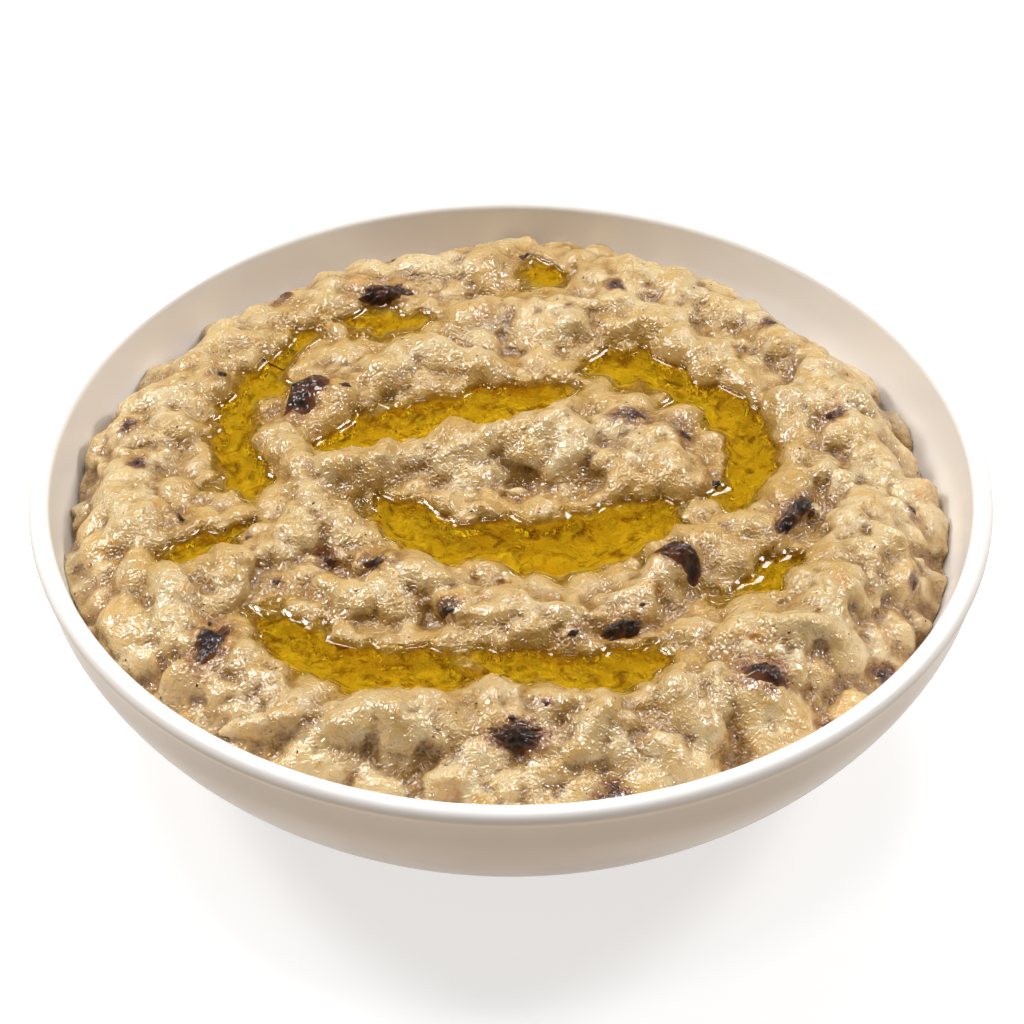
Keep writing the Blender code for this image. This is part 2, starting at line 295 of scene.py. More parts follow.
def uneven_balls(centres, frames, sizes, ball, unevenness):
    """Many lumpy ellipsoids: centres (n, 3), frames (n, 3, 3) with axes in columns, half sizes (n, 3)."""
    points, faces = ball
    count = len(centres)
    reach = np.ones((count, len(points)))
    for _ in range(4):
        waves = random.normal(size=(count, 3))
        waves *= random.uniform(2.0, 4.2, size=(count, 1)) / np.linalg.norm(waves, axis=1)[:, None]
        phase = random.uniform(0, 2 * math.pi, size=(count, 1))
        reach += unevenness * np.sin(waves @ points.T + phase)
    local = points[None] * reach[:, :, None] * sizes[:, None, :]
    world = np.einsum("nij,nkj->nki", frames, local) + centres[:, None, :]
    offsets = (np.arange(count) * len(points))[:, None, None]
    return world.reshape(-1, 3), (faces[None] + offsets).reshape(-1, 3)


def frames_on_ground(x, y, turn):
    """Frames whose third axis stands on the ground and whose first runs along a turn from downhill."""
    dx, dy = sample(SLOPE_X, x, y), sample(SLOPE_Y, x, y)
    normal = np.column_stack([-dx, -dy, np.ones(len(x))])
    normal /= np.linalg.norm(normal, axis=1)[:, None]
    angle = np.arctan2(dy, dx) + turn
    along = np.column_stack([np.cos(angle), np.sin(angle), np.zeros(len(x))])
    along -= (along * normal).sum(axis=1)[:, None] * normal
    along /= np.linalg.norm(along, axis=1)[:, None]
    across = np.cross(normal, along)
    return np.stack([along, across, normal], axis=2), normal


def scattered(spacing, jitter=0.42):
    """Places over the dip on a jittered triangular grid."""
    rows = int(HALF / spacing) + 2
    i, j = np.meshgrid(np.arange(-rows, rows + 1), np.arange(-rows, rows + 1), indexing="ij")
    x = ((i + 0.5 * (j % 2)) * spacing).ravel()
    y = (j * spacing * math.sqrt(0.75)).ravel()
    x += random.uniform(-jitter, jitter, x.size) * spacing
    y += random.uniform(-jitter, jitter, x.size) * spacing
    ground = sample(GROUND, x, y)
    kept = np.hypot(x, y) < wall_radius(ground) - 0.5 * MM
    return x[kept], y[kept]


def lump_layer(spacing, half_sizes, proud, spread, ball, unevenness):
    """One size of lump all over the dip, smaller and lower beside a pool, lower by the wall and on crests.

    proud is how far its top stands over the ground, in millimetres, and spread how far its turn strays.
    """
    x, y = scattered(spacing)
    size = random.uniform(0.75, 1.3, (len(x), 1)) * np.array(half_sizes) * MM
    size *= random.uniform(0.85, 1.15, size.shape)
    top = random.uniform(*proud, len(x)) * MM
    drowned = ramp(sample(POOL_DEEP, x, y), 0, 1.5 * MM)
    close = ramp(sample(POOL_GAP, x, y), 0.0, 1.2 * size[:, 0])
    size *= (0.6 + 0.4 * close)[:, None]
    walled = ramp(wall_radius(sample(GROUND, x, y)) - np.hypot(x, y), 0, 7 * MM)
    top = top * (0.1 + 0.9 * close) * (0.65 + 0.35 * walled) - drowned * 1.3 * MM
    top *= 1 - 0.6 * sample(CRESTS, x, y)
    across = np.where(random.random(len(x)) < 0.4, math.pi / 2, 0)
    frames, normal = frames_on_ground(x, y, across + random.normal(0, spread, len(x)))
    ground = np.column_stack([x, y, sample(GROUND, x, y)])
    centres = ground + normal * (top - size[:, 2])[:, None]
    return uneven_balls(centres, frames, size, ball, unevenness)


def ground_block():
    """The body under the lumps, closed, down past the cut, on every second line of the grid."""
    sunk, reach, past_cut = 2.2 * MM, 84 * MM, 3 * MM
    x, y, z = (grid[::2, ::2] for grid in (GX, GY, GROUND - sunk))
    index = np.arange(z.size).reshape(z.shape)
    top = np.column_stack([x.ravel(), y.ravel(), z.ravel()])
    low = top.copy()
    low[:, 2] = CUT - past_cut
    corners = sheet_faces(index, np.hypot(x, y) < reach)
    return np.vstack([top, low]), slab_faces(corners, len(top))


def remeshed(vertices, faces, voxel):
    """The outside skin of overlapping closed shells."""
    rough = build("rough", vertices, faces, smooth=False)
    modifier = rough.modifiers.new("skin", "REMESH")
    modifier.mode = "VOXEL"
    modifier.voxel_size = voxel
    bpy.context.view_layer.update()
    mesh = bpy.data.meshes.new_from_object(rough.evaluated_get(bpy.context.evaluated_depsgraph_get()))
    bpy.data.objects.remove(rough)
    return mesh


def trimmed(mesh):
    """Cuts away what lies under CUT and draws the cut edge down the wall to a flat underside."""
    shape = bmesh.new()
    shape.from_mesh(mesh)
    geometry = shape.verts[:] + shape.edges[:] + shape.faces[:]
    bmesh.ops.bisect_plane(
        shape, geom=geometry, plane_co=(0, 0, CUT), plane_no=(0, 0, -1), clear_outer=True)
    rim = [e for e in shape.edges if e.is_boundary]
    for share in (0.82, 0.65, 0.48, 0.33, 0.2, 0.08, 0.0):
        made = bmesh.ops.extrude_edge_only(shape, edges=rim)["geom"]
        rim = [e for e in made if isinstance(e, bmesh.types.BMEdge) and e.is_boundary]
        for vertex in {v for e in rim for v in e.verts}:
            vertex.co.z = CAVITY_FLOOR + WALL_GAP + share * (CUT - CAVITY_FLOOR)
    centre = shape.verts.new((0, 0, CAVITY_FLOOR + WALL_GAP))
    for edge in rim:
        shape.faces.new((*edge.verts, centre))
    bmesh.ops.recalc_face_normals(shape, faces=shape.faces[:])
    shape.to_mesh(mesh)
    shape.free()
    return mesh


def relaxed(mesh, points, rounds):
    """Moves each point half of the way to the middle of its neighbours, again and again."""
    edges = np.empty(len(mesh.edges) * 2, np.int32)
    mesh.edges.foreach_get("vertices", edges)
    a, b = edges.reshape(-1, 2).T
    count = np.bincount(a, minlength=len(points)) + np.bincount(b, minlength=len(points))
    for _ in range(rounds):
        total = np.zeros_like(points)
        for axis in range(3):
            total[:, axis] += np.bincount(a, points[b, axis], len(points))
            total[:, axis] += np.bincount(b, points[a, axis], len(points))
        points = points + 0.5 * (total / np.maximum(count, 1)[:, None] - points)
    return points


def held_in_bowl(points):
    """Presses what would pass through the wall flat against it."""
    radius = np.hypot(points[:, 0], points[:, 1])
    most = wall_radius(points[:, 2]) - WALL_GAP
    scale = np.minimum(1, most / np.maximum(radius, 1e-9))
    points = points.copy()
    points[:, :2] *= scale[:, None]
    return points


# Lumps placed one by one: a node, where in its box from 0 to 1 across and 0 to 1 up the plan, then length,
# width, height and how proud it stands in millimetres, and its turn in degrees from +X.
KEY_LUMPS = [
    ("oil_centre", 0.57, 0.30, 10, 6.5, 5.0, 2.9, 15),
    ("oil_centre", 0.36, 0.08, 11, 5.0, 4.0, 2.6, -8),
    ("oil_centre", 0.22, 0.88, 7, 4.2, 4.0, 2.2, -60),
    ("oil_centre", 0.36, 0.82, 6, 4.0, 3.5, 1.9, -40),
    ("oil_centre", 0.28, 0.70, 5, 3.4, 3.0, 1.6, 10),
    ("oil_right", 0.98, 0.86, 17, 7.0, 6.0, 2.6, -62),
    ("oil_right", 0.52, 0.58, 9, 6.0, 4.5, 2.4, 30),
    ("oil_right", 0.20, 1.12, 11, 7.0, 5.5, 2.4, 10),
    ("oil_left", 0.62, -0.02, 10, 7.0, 5.5, 2.0, 80),
    ("oil_left", -0.10, 0.62, 9, 6.5, 5.5, 2.6, 75),
    ("oil_left", -0.05, 0.92, 9, 6.0, 5.5, 2.6, 70),
    ("oil_front", 0.52, 0.40, 7, 4.5, 3.5, 2.4, -20),
    ("oil_front", 0.02, -0.30, 15, 4.0, 3.6, 2.6, 8),
    ("oil_front", 0.35, -0.45, 10, 7.5, 6.0, 2.6, -55),
    ("oil_west", 0.75, 0.92, 8, 5.0, 4.5, 2.2, 35),
    ("oil_east", 0.95, 0.30, 9, 6.0, 5.0, 2.2, 60),
]


def key_lumps(ball):
    """The listed lumps, as one layer."""
    centres, frames, sizes = [], [], []
    for node, u, v, length, width, height, proud, turn in KEY_LUMPS:
        low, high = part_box(node)
        x = np.array([low.x + u * (high.x - low.x)])
        y = np.array([low.y + v * (high.y - low.y)])
        downhill = np.arctan2(sample(SLOPE_Y, x, y), sample(SLOPE_X, x, y))
        frame_here, normal = frames_on_ground(x, y, math.radians(turn) - downhill)
        size = np.array([length, width, height]) * MM / 2
        ground = sample(GROUND, x, y)[0]
        centres.append(np.array([x[0], y[0], ground]) + normal[0] * (proud * MM - size[2]))
        frames.append(frame_here[0])
        sizes.append(size)
    return uneven_balls(np.array(centres), np.array(frames), np.array(sizes), ball, 0.06)


def filled(points, normals):
    """Raises the floors of the pits between lumps, away from the pools, and those of deep pits most."""
    level = blur(top_heights(points, normals), 2.0 * MM) - 1.1 * MM
    x, y = points[:, 0], points[:, 1]
    short = np.clip(sample(level, x, y) - points[:, 2], 0, 4 * MM) * (points[:, 2] > CUT + 1 * MM)
    points = points.copy()
    lift = 0.4 * short + 0.5 * np.clip(short - 1 * MM, 0, None)
    points[:, 2] += lift * ramp(sample(POOL_GAP, x, y), 0.5 * MM, 2.5 * MM)
    return points


def warped(points):
    """Bends the lumps out of their even shapes."""
    broad = np.array([noise.noise_vector(p / (6.5 * MM)) for p in map(Vector, points)])
    close = np.array([noise.noise_vector(p / (2.6 * MM)) for p in map(Vector, points)])
    return points + 0.9 * MM * broad + 0.32 * MM * close


def grainy(mesh, points):
    """Fine swelling and pitting of the surface, along its normals."""
    mesh.vertices.foreach_set("co", points.astype(np.float32).ravel())
    mesh.update()
    normals = normals_of(mesh)
    swell = np.array([noise.noise(p / (2.2 * MM)) for p in map(Vector, points)])
    pits = np.array([noise.noise(p / (1.2 * MM)) for p in map(Vector, points)])
    return points + normals * (0.3 * MM * swell + 0.16 * MM * pits)[:, None]


def normals_of(mesh):
    values = np.empty(len(mesh.vertices) * 3, np.float32)
    mesh.vertices.foreach_get("normal", values)
    return values.reshape(-1, 3).astype(float)


def top_heights(points, normals):
    """Grid of the highest upward-facing point near each cell."""
    up = normals[:, 2] > 0.05
    i = np.clip(np.round((points[up, 0] + HALF) / STEP).astype(int), 0, len(AXIS) - 1)
    j = np.clip(np.round((points[up, 1] + HALF) / STEP).astype(int), 0, len(AXIS) - 1)
    heights = np.full(GX.shape, -1.0)
    np.maximum.at(heights, (i, j), points[up, 2])
    heights[heights < 0] = np.nan
    return fill_gaps(heights)


def add_attribute(mesh, name, values):
    made = mesh.attributes.new(name, "FLOAT", "POINT")
    made.data.foreach_set("value", values.astype(np.float32))


def flooded(heights):
    """For each pool the cells under its oil, and the oil's level there, which sinks away from the pool."""
    found = {}
    for name, (level, mask, apart) in POOL_FACTS.items():
        surface = level - 0.35 * np.clip(apart - 3.5 * MM, 0, None)
        low = (heights < surface) & (apart < 8 * MM)
        wet = mask & low
        while True:
            grown = wet.copy()
            for shift, axis in ((1, 0), (-1, 0), (1, 1), (-1, 1)):
                grown |= np.roll(wet, shift, axis)
            grown &= low
            if (grown == wet).all():
                break
            wet = grown
        found[name] = (wet, surface)
    return found


def make_dip():
    block = ground_block()
    layers = [
        key_lumps(unit_ball(3)),
        lump_layer(8.6 * MM, (6.6, 4.5, 4.6), (1.1, 3.1), 0.5, unit_ball(3), 0.05),
        lump_layer(5.2 * MM, (3.3, 2.5, 2.7), (-0.6, 1.7), 0.6, unit_ball(3), 0.05),
        lump_layer(3.4 * MM, (1.9, 1.5, 1.6), (-1.0, 1.0), 1.2, unit_ball(2), 0.05),
    ]
    vertices, faces, base = [block[0]], [as_triangles(block[1])], len(block[0])
    for points, corners in layers:
        vertices.append(points)
        faces.append(corners + base)
        base += len(points)
    mesh = trimmed(remeshed(np.vstack(vertices), np.vstack(faces), VOXEL))
    points = relaxed(mesh, coordinates(mesh), 2)
    points = filled(points, normals_of(mesh))
    points = held_in_bowl(grainy(mesh, warped(points)))
    mesh.vertices.foreach_set("co", points.astype(np.float32).ravel())
    mesh.update()
    mesh.shade_smooth()
    mesh.name = "baba_ganoush"
    made = bpy.data.objects.new("baba_ganoush", mesh)
    bpy.context.scene.collection.objects.link(made)
    return made


def mark_dip(mesh, wet_surfaces, burns):
    """Writes what the dip's finish goes by: how hollow and low, which its painted shade follows, how near
    oil, how deep in it, and burns.

    A burn is an ellipse: its middle, its direction, its length and its width.
    """
    points, normals = coordinates(mesh), normals_of(mesh)
    fine = ((relaxed(mesh, points, 3) - points) * normals).sum(axis=1)
    broad = ((relaxed(mesh, points, 24) - points) * normals).sum(axis=1)
    x, y = points[:, 0], points[:, 1]
    low = sample(blur(GROUND, 3 * MM), x, y) + 1.2 * MM - points[:, 2]
    add_attribute(mesh, "crease", fine / MM)
    add_attribute(mesh, "hollow", broad / MM)
    add_attribute(mesh, "low", low / MM)
    deep = np.full(len(points), -10.0)
    gap = np.full(len(points), 20.0)
    for wet, surface in wet_surfaces.values():
        away = distance_from(wet)
        under = (sample(surface, x, y) - points[:, 2]) / MM
        near = sample(away, x, y) / MM
        deep = np.where(near < 1.2, np.maximum(deep, under), deep)
        gap = np.minimum(gap, near)
    add_attribute(mesh, "under_oil", deep)
    add_attribute(mesh, "from_oil", gap)
    scorch = np.zeros(len(points))
    for centre, along, length, width in burns:
        offset = points - np.array(centre)
        lengthwise = offset @ np.array(along)
        sideways = np.sqrt(np.clip((offset ** 2).sum(axis=1) - lengthwise ** 2, 0, None))
        apart = np.hypot(lengthwise / length, sideways / width) * 2
        scorch = np.maximum(scorch, 1 - ramp(apart, 0.6, 2.1))
    add_attribute(mesh, "scorch", scorch)


# ---------------------------------------------------------------- oil


def make_oil(name, wet, surface, heights):
    """The oil of one pool: level on top, drawn up a little at its shore, and closed inside the dip."""
    outside = distance_from(wet)
    shore = blur(distance_from(~wet) - outside, 0.6 * MM)
    near = outside < 2 * MM
    lines = [np.arange(grid[near].min(), grid[near].max(), STEP / 2) for grid in (GX, GY)]
    x, y = np.meshgrid(*lines, indexing="ij")
    shore, outside, heights, level = (sample(grid, x, y) for grid in (shore, outside, heights, surface))
    cells = outside < 1.6 * MM
    drawn_up, past_shore = 0.5 * MM, 0.5 * MM
    top = level + drawn_up * np.exp(-np.maximum(shore, -past_shore) / (0.9 * MM))
    top -= np.clip(-shore - past_shore, 0, None)
    low = np.minimum(heights - 0.35 * MM, top - 0.3 * MM)
    index = -np.ones(x.shape, int)
    index[cells] = np.arange(cells.sum())
    upper = np.column_stack([x[cells], y[cells], top[cells]])
    lower = np.column_stack([x[cells], y[cells], low[cells]])
    faces = slab_faces(sheet_faces(index, cells), len(upper))
    made = build(name, np.vstack([upper, lower]), faces)
    deep = np.clip(top - heights, 0, None)[cells]
    add_attribute(made.data, "depth", np.concatenate([deep, deep]) / MM)
    return made


# ---------------------------------------------------------------- charred skin


def flake(tree, centre, facing, along, length, width, thickness, rings, segments, ragged):
    """A crumpled scrap laid on a surface: vertices, faces and how far out each vertex is, 0 to 1."""
    facing, along = Vector(facing).normalized(), Vector(along)
    along = (along - along.dot(facing) * facing).normalized()
    across = facing.cross(along)
    seed = Vector(random.uniform(-50, 50, 3))
    centre = Vector(centre)
    top, low, out = [], [], []
    for ring in range(rings + 1):
        for step in range(segments if ring else 1):
            angle = 2 * math.pi * step / segments
            way = Vector((math.cos(angle), math.sin(angle), 0))
            edge = 1 + ragged * sum(share * noise.noise(seed + way * rate)
                                    for share, rate in ((0.7, 1.1), (0.5, 2.7), (0.3, 6.0)))
            reach = ring / rings * edge
            flat = along * (math.cos(angle) * reach * length / 2)
            flat += across * (math.sin(angle) * reach * width / 2)
            start = centre + flat + facing * 6 * MM
            hit = tree.ray_cast(start, -facing, 14 * MM)[0] or centre + flat
            crumple = noise.noise(seed + hit / (2.2 * MM)) + 0.6 * noise.noise(seed + hit / (1.0 * MM))
            dome = 1 - (ring / rings) ** 4
            lift = thickness * dome * (0.75 + 0.75 * abs(crumple)) - 0.12 * MM * (1 - dome)
            top.append(hit + facing * lift)
            low.append(hit - facing * 0.5 * MM)
            out.append(ring / rings)
    faces = []
    for ring in range(rings):
        for step in range(segments):
            after = (step + 1) % segments
            a = 0 if ring == 0 else 1 + (ring - 1) * segments + step
            b = 0 if ring == 0 else 1 + (ring - 1) * segments + after
            c, d = 1 + ring * segments + after, 1 + ring * segments + step
            faces += [(a, d, c)] if ring == 0 else [(a, d, c), (a, c, b)]
    count = len(top)
    faces += [(c + count, b + count, a + count) for a, b, c in faces]
    first = 1 + (rings - 1) * segments
    for step in range(segments):
        a, b = first + step, first + (step + 1) % segments
        faces += [(b, a, a + count), (b, a + count, b + count)]
    return [tuple(p) for p in top + low], faces, out + out


def joined(name, scraps):
    """Several scraps as one object."""
    vertices, faces, out = [], [], []
    for points, corners, edge in scraps:
        faces += [tuple(i + len(vertices) for i in f) for f in corners]
        vertices += points
        out += edge
    made = build(name, vertices, faces)
    add_attribute(made.data, "edge", np.array(out))
    return made


def plan_of(node):
    """Middle, length, width and direction in plan of a solid scrap."""
    points = coordinates(NODES[node].data)
    middle = (points.min(axis=0) + points.max(axis=0)) / 2
    flat = points[:, :2] - middle[:2]
    axes = np.linalg.eigh(flat.T @ flat)[1]
    spans = np.ptp(flat @ axes, axis=0)
    return middle, spans[1], spans[0], axes[:, 1]


def facing_at(points, normals, place, radius):
    """Mean direction in which the surface faces round a place."""
    near = (np.linalg.norm(points - place, axis=1) < radius) & (normals[:, 2] > 0)
    return normals[near].mean(axis=0) if near.any() else np.array([0, 0, 1.0])


# Small scorched spots, as bearing in degrees, distance from the axis over the rim's radius, and length and
# width in millimetres before SPOT_SCALE.
SPOT_SCALE = 1.4
SPOTS = [
    (18, 0.72, 2.2, 1.6), (150, 0.72, 2.0, 1.4), (-2, 0.84, 2.0, 1.6), (-77, 0.86, 3.2, 2.4),
    (174, 0.79, 1.6, 1.2), (-173, 0.69, 2.2, 1.8), (166, 0.84, 1.6, 1.3), (-153, 0.42, 2.6, 1.4),
    (-139, 0.36, 4.6, 2.4), (38, 0.34, 2.0, 4.0), (25, 0.41, 2.0, 4.0), (4, 0.43, 2.4, 2.0),
    (71, 0.71, 2.0, 1.4), (44, 0.80, 1.8, 1.3), (-16, 0.86, 2.0, 1.4), (-31, 0.87, 2.2, 1.6),
    (-45, 0.88, 2.0, 1.6), (-111, 0.90, 2.4, 1.6), (-75, 0.47, 2.6, 1.6), (-109, 0.41, 3.2, 1.8),
    (-164, 0.56, 1.8, 1.0), (127, 0.84, 2.4, 1.6), (108, 0.84, 2.0, 1.4), (88, 0.82, 2.4, 1.4),
    (-84, 0.67, 1.2, 1.0), (-150, 0.55, 1.6, 1.2),
]


def scorched_spots(tree, points, normals):
    """The listed small scraps and a scatter of tiny specks, with where each burn is."""
    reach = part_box("bowl")[1].x
    spot_thickness, speck_thickness, stain = 0.28, 0.1, 1.5
    places = []
    for bearing, away, length, width in SPOTS:
        turn = math.radians(bearing)
        x, y = reach * away * math.cos(turn), reach * away * math.sin(turn)
        places.append((x, y, SPOT_SCALE * length, SPOT_SCALE * width, spot_thickness))
    x, y = scattered(10 * MM, 0.5)
    for px, py in zip(x, y):
        size = random.uniform(0.25, 0.6)
        places.append((px, py, size * random.uniform(1.0, 2.2), size, speck_thickness))
    scraps, burns = [], []
    for px, py, length, width, thickness in places:
        start = Vector((px, py, RIM + 20 * MM))
        hit = tree.ray_cast(start, Vector((0, 0, -1)))[0]
        if hit is None:
            continue
        facing = facing_at(points, normals, np.array(hit), 1.5 * MM)
        turn = random.uniform(0, math.pi)
        along = (math.cos(turn), math.sin(turn), 0)
        small = length < 1.5
        cover = 1.0 if small else 0.7
        rings, segments, ragged = (2, 8, 0.3) if small else (5, 22, 0.9)
        scrap = flake(tree, hit, facing, along, cover * length * MM, cover * width * MM, thickness * MM,
                      rings, segments, ragged)
        paleness = [0.9] * len(scrap[0]) if small else [0.35 + 0.65 * out for out in scrap[2]]
        scraps.append((*scrap[:2], paleness))
        if not small:
            burns.append((tuple(hit), along, stain * length * MM, stain * width * MM))
    return joined("scorched_specks", scraps), burns


def charred_scraps(tree, points, normals):
    """One crumpled scrap for each solid one, with where each burn is."""
    made, burns = {}, []
    for node in CHARS:
        middle, length, width, direction = plan_of(node)
        hit = tree.ray_cast(Vector((*middle[:2], RIM + 20 * MM)), Vector((0, 0, -1)))[0]
        facing = facing_at(points, normals, np.array(hit), 0.4 * length)
        along = (direction[0], direction[1], 0)
        scraps = [flake(tree, hit, facing, along, length, width * 1.05, 1.1 * MM, 16, 64, 0.5)]
        for _ in range(2):
            shift = random.normal(0, 0.45, 2) * (length, width)
            place = Vector(hit) + Vector((*direction, 0)) * shift[0]
            place += Vector((-direction[1], direction[0], 0)) * shift[1] + Vector((0, 0, 10 * MM))
            near = tree.ray_cast(place, Vector((0, 0, -1)))[0]
            if near is not None:
                size = random.uniform(0.12, 0.28) * length
                scraps.append(flake(tree, near, facing, along, size, size * 0.6, 0.35 * MM, 5, 20, 0.7))
        made[node] = joined(node.replace("char_", "charred_skin_"), scraps)
        burns.append((tuple(hit), along, 1.1 * length, 1.2 * width))
    return made, burns


# ---------------------------------------------------------------- bowl


def rounded(outline, corners, radius):
    """The outline with its sharp corners, given by index, eased."""
    points = []
    for i, point in enumerate(outline):
        if i in corners:
            before, after = outline[i - 1] - point, outline[i + 1] - point
            for way in (before, after):
                span = np.linalg.norm(way)
                points.append(point + way / span * min(radius, 0.4 * span))
            points.insert(-1, point * 0.5 + (points[-1] + points[-2]) * 0.25)
        else:
            points.append(point)
    return np.array(points)


def smoothed(points, parts):
    """A smooth curve through the points."""
    ends = np.vstack([points[:1], points, points[-1:]])
    curve = []
    for a, b, c, d in zip(ends, ends[1:], ends[2:], ends[3:]):
        for t in np.arange(parts) / parts:
            ab, bc, cd = (max(np.linalg.norm(q - p) ** 0.5, 1e-6) for p, q in ((a, b), (b, c), (c, d)))
            t0, t1, t2, t3 = 0, ab, ab + bc, ab + bc + cd
            at = t1 + t * (t2 - t1)
            p = (t1 - at) / (t1 - t0) * a + (at - t0) / (t1 - t0) * b
            q = (t2 - at) / (t2 - t1) * b + (at - t1) / (t2 - t1) * c
            r = (t3 - at) / (t3 - t2) * c + (at - t2) / (t3 - t2) * d
            near = (t2 - at) / (t2 - t0) * p + (at - t0) / (t2 - t0) * q
            far = (t3 - at) / (t3 - t1) * q + (at - t1) / (t3 - t1) * r
            curve.append((t2 - at) / (t2 - t1) * near + (at - t1) / (t2 - t1) * far)
    curve.append(points[-1])
    return np.array(curve)


def make_bowl():
    """The solid bowl's outline, smoothed and turned, marked 0 inside, 1 outside and 2 low on the outside,
    where the glaze gets painted shade.
    """
    eased = rounded(BOWL_OUTLINE[1:-1], (1, 2, 3), 0.8 * MM)
    outline = np.maximum(smoothed(eased, 4), 0)
    turns = 192
    angles = np.arange(turns) * 2 * math.pi / turns
    ring = np.column_stack([np.cos(angles), np.sin(angles)])
    vertices = [(0, 0, outline[0, 1])]
    for radius, z in outline:
        vertices += [(radius * c, radius * s, z) for c, s in ring]
    vertices.append((0, 0, outline[-1, 1]))
    last = len(vertices) - 1
    made = bmesh.new()
    corners = [made.verts.new(v) for v in vertices]
    for k in range(turns):
        n = (k + 1) % turns
        made.faces.new((corners[0], corners[1 + n], corners[1 + k]))
        for row in range(len(outline) - 1):
            a, b = 1 + row * turns, 1 + (row + 1) * turns
            made.faces.new((corners[a + k], corners[a + n], corners[b + n], corners[b + k]))
        end = 1 + (len(outline) - 1) * turns
        made.faces.new((corners[end + k], corners[end + n], corners[last]))
    bmesh.ops.recalc_face_normals(made, faces=made.faces[:])
    mesh = bpy.data.meshes.new("glazed_bowl")
    made.to_mesh(mesh)
    made.free()
    mesh.shade_smooth()
    crest = int(np.argmax(outline[:, 1]))
    below = (outline[crest, 1] - outline[:, 1]) * (np.arange(len(outline)) < crest)
    # This mark carries painted shade on the outside wall: 1 just under the lip, rising to 2 low down
    outside = np.repeat(ramp(below, 0.1 * MM, 2.0 * MM) + ramp(below, 4 * MM, 34 * MM), turns)
    add_attribute(mesh, "outside", np.concatenate([[2], outside, [0]]))
    bowl = bpy.data.objects.new("glazed_bowl", mesh)
    bpy.context.scene.collection.objects.link(bowl)
    return bowl


# ---------------------------------------------------------------- finishes


def tone(red, green, blue):
    """A colour given in 0 to 255 as seen, as the shader's linear values."""
    seen = (v / 255 for v in (red, green, blue))
    return (*(v / 12.92 if v <= 0.04045 else ((v + 0.055) / 1.055) ** 2.4 for v in seen), 1)


class Finish:
    """A node material, built by calls that each return a socket."""

    def __init__(self, name):
        self.material = bpy.data.materials.new(name)
        self.material.use_nodes = True
        self.tree = self.material.node_tree
        self.tree.nodes.clear()
        self.place = self.node("TexCoord").outputs["Object"]

    def node(self, kind, **settings):
        made = self.tree.nodes.new("ShaderNode" + kind)
        for key, value in settings.items():
            setattr(made, key, value)
        return made

    def feed(self, socket, value):
        if isinstance(value, bpy.types.NodeSocket):
            self.tree.links.new(value, socket)
        else:
            socket.default_value = value

    def attribute(self, name):
        return self.node("Attribute", attribute_name=name).outputs["Fac"]

    def math(self, operation, a, b):
        made = self.node("Math", operation=operation)
        self.feed(made.inputs[0], a)
        self.feed(made.inputs[1], b)
        return made.outputs[0]

    def remap(self, value, low, high, to_low=0.0, to_high=1.0):
        made = self.node("MapRange", interpolation_type="SMOOTHSTEP")
        for index, given in enumerate((value, low, high, to_low, to_high)):
            self.feed(made.inputs[index], given)
        return made.outputs[0]

    def noise(self, size, detail=2.0, rough=0.5, warp=0.0):
        made = self.node("TexNoise")
        self.feed(made.inputs["Vector"], self.place)
        self.feed(made.inputs["Scale"], 1 / size)
        self.feed(made.inputs["Detail"], detail)
        self.feed(made.inputs["Roughness"], rough)
        self.feed(made.inputs["Distortion"], warp)
        return made.outputs["Fac"]

    def cells(self, size):
        """Distance from the nearest of a scatter of points."""
        made = self.node("TexVoronoi", feature="F1")
        self.feed(made.inputs["Vector"], self.place)
        self.feed(made.inputs["Scale"], 1 / size)
        return made.outputs["Distance"]

    def mix(self, factor, a, b):
        made = self.node("Mix", data_type="RGBA", blend_type="MIX", clamp_factor=True)
        self.feed(made.inputs[0], factor)
        self.feed(made.inputs[6], a)
        self.feed(made.inputs[7], b)
        return made.outputs[2]

    def bump(self, height, distance, strength):
        made = self.node("Bump")
        self.feed(made.inputs["Strength"], strength)
        self.feed(made.inputs["Distance"], distance)
        self.feed(made.inputs["Height"], height)
        return made.outputs[0]

    def principled(self, **inputs):
        shader = self.node("BsdfPrincipled")
        for key, value in inputs.items():
            self.feed(shader.inputs[key.replace("_", " ")], value)
        output = self.node("OutputMaterial")
        self.tree.links.new(shader.outputs[0], output.inputs["Surface"])
        return self.material


